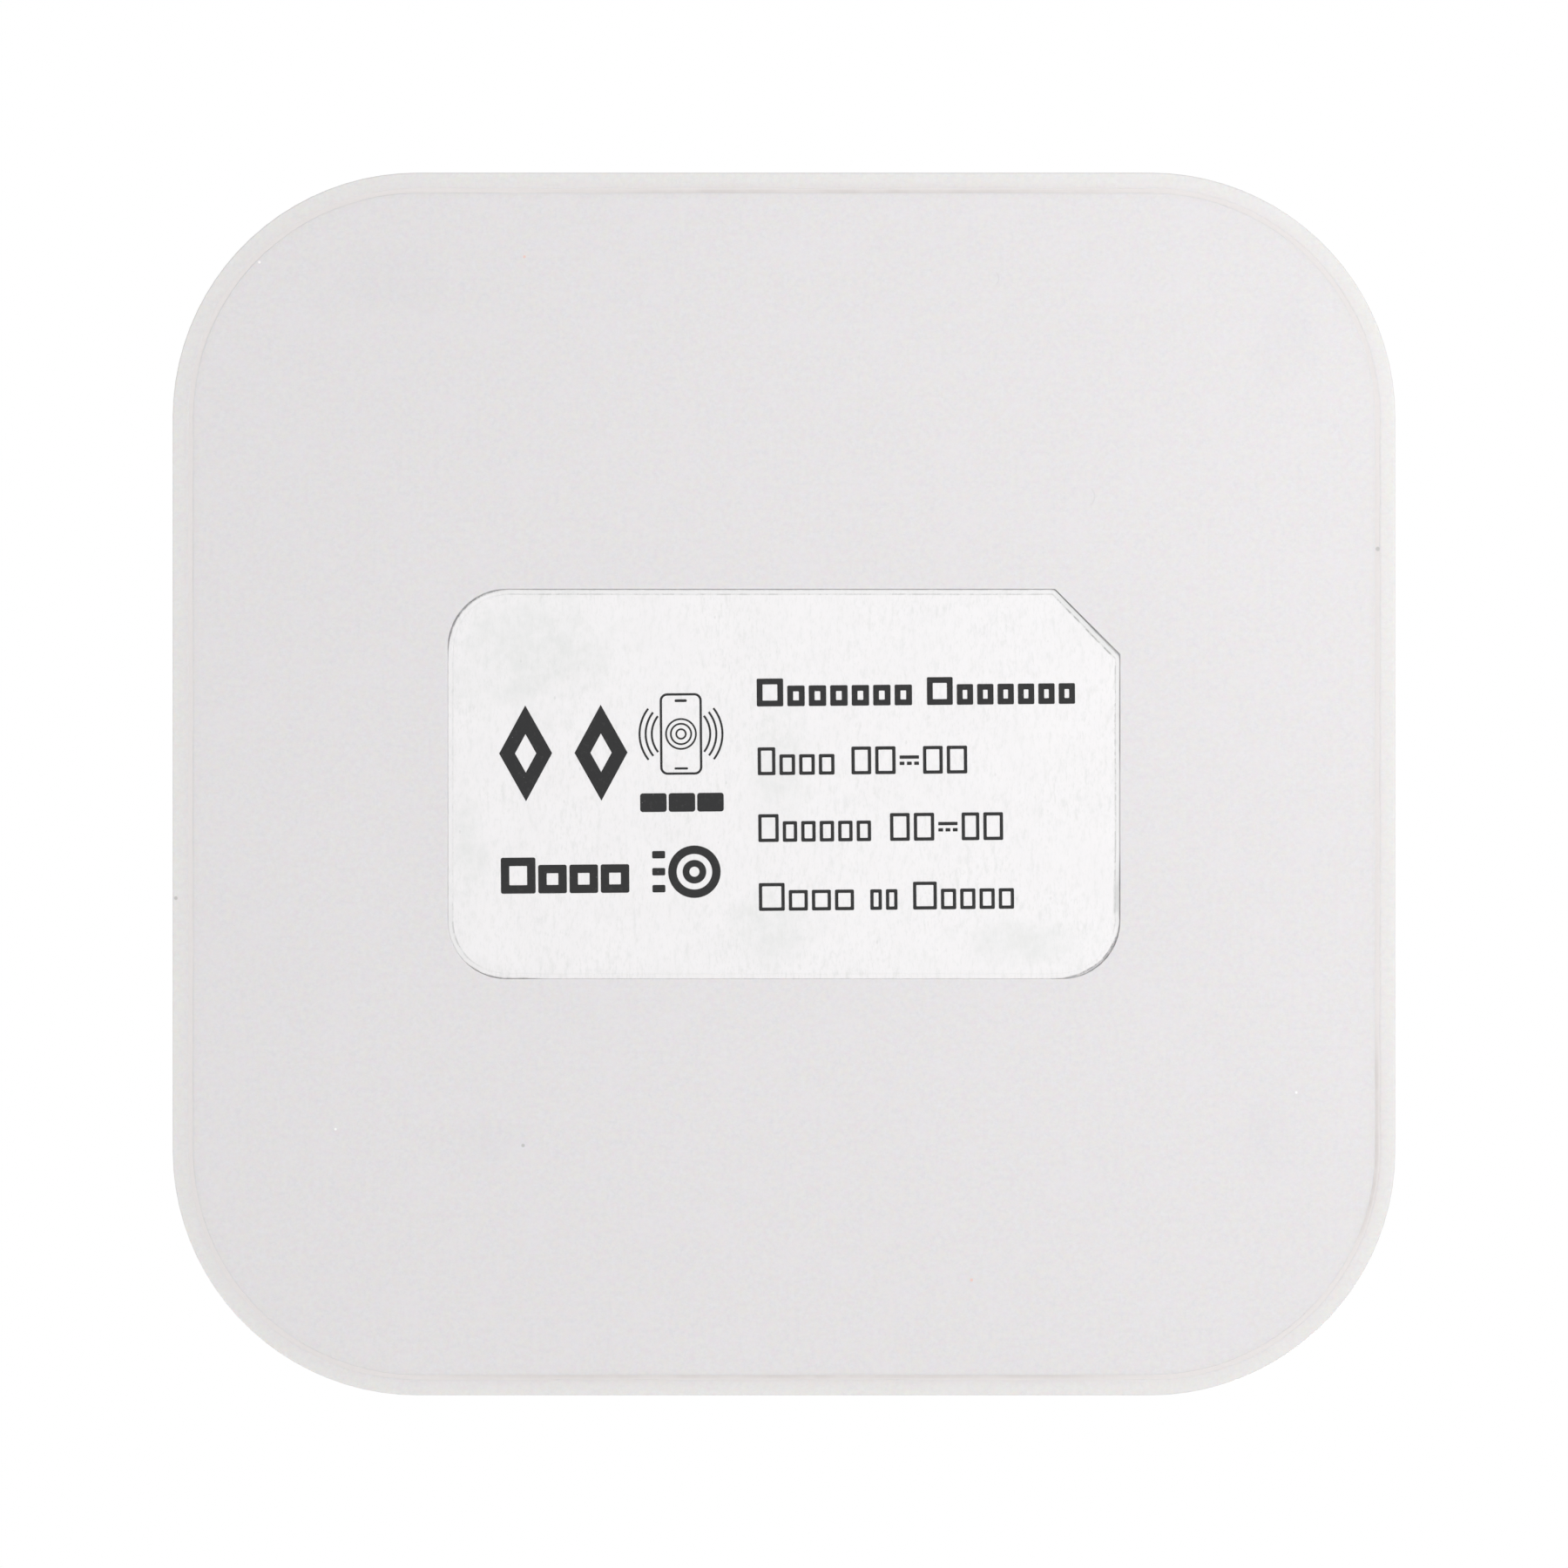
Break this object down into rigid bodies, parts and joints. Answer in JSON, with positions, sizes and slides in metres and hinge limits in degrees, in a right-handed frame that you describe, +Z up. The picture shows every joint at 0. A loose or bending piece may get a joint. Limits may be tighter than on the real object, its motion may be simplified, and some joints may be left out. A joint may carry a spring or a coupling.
{
  "type": "wireless charging pad",
  "caption": "Flat square wireless charging pad with large rounded corners, an inset bottom cover with a recessed rating label, and a micro-USB socket and indicator light in one side.",
  "frame": {"origin": "centre of the underside, on the plane the pad rests on", "axes": "+Z up through the charging face; +Y points to the side with the micro-USB socket"},
  "size_m": [0.09, 0.09, 0.0085],
  "materials": {
    "shell_plastic": "satin white ABS with a fine spark-eroded grain",
    "cover_plastic": "satin white ABS with a fine spark-eroded grain",
    "label_film": "silvery white satin film, printed in black",
    "light_pipe_plastic": "milky translucent",
    "board_laminate": "green solder mask over copper tracks",
    "screw_steel": "zinc plated",
    "socket_steel": "nickel plated sheet",
    "contact_gold": "gold plated",
    "socket_plastic": "black moulded nylon",
    "litz_copper": "twisted bundle of enamelled copper strands",
    "solder": "bright tin solder",
    "mounting_tape": "translucent double-sided tape",
    "clear_tape": "thin amber film",
    "ferrite": "sintered dark grey",
    "foam": "black closed-cell foam",
    "chip_epoxy": "moulded black epoxy",
    "capacitor_ceramic": "fired tan ceramic with tinned ends",
    "resistor_ceramic": "black glaze with tinned ends",
    "led_resin": "clear resin dome on a white base"
  },
  "bodies": {
    "root": {"top_shell": "shell_plastic", "bottom_cover": "cover_plastic", "rating_label": "label_film", "light_pipe": "light_pipe_plastic", "main_pcb": "board_laminate", "pcb_screws": "screw_steel", "usb_shell": "socket_steel", "usb_contacts": "contact_gold", "usb_tongue": "socket_plastic", "coil_winding": "litz_copper", "coil_leads": "litz_copper", "lead_solder_joints": "solder", "coil_mounting_tape": "mounting_tape", "ferrite_tape": "clear_tape", "ferrite_shield": "ferrite", "foam_pad": "foam", "controller_chip": "chip_epoxy", "bridge_transistors": "chip_epoxy", "voltage_regulator": "chip_epoxy", "resonant_capacitors": "capacitor_ceramic", "input_capacitors": "capacitor_ceramic", "bypass_capacitors": "capacitor_ceramic", "chip_resistors": "resistor_ceramic", "current_sense_resistor": "resistor_ceramic", "indicator_leds": "led_resin"}
  },
  "joints": []
}
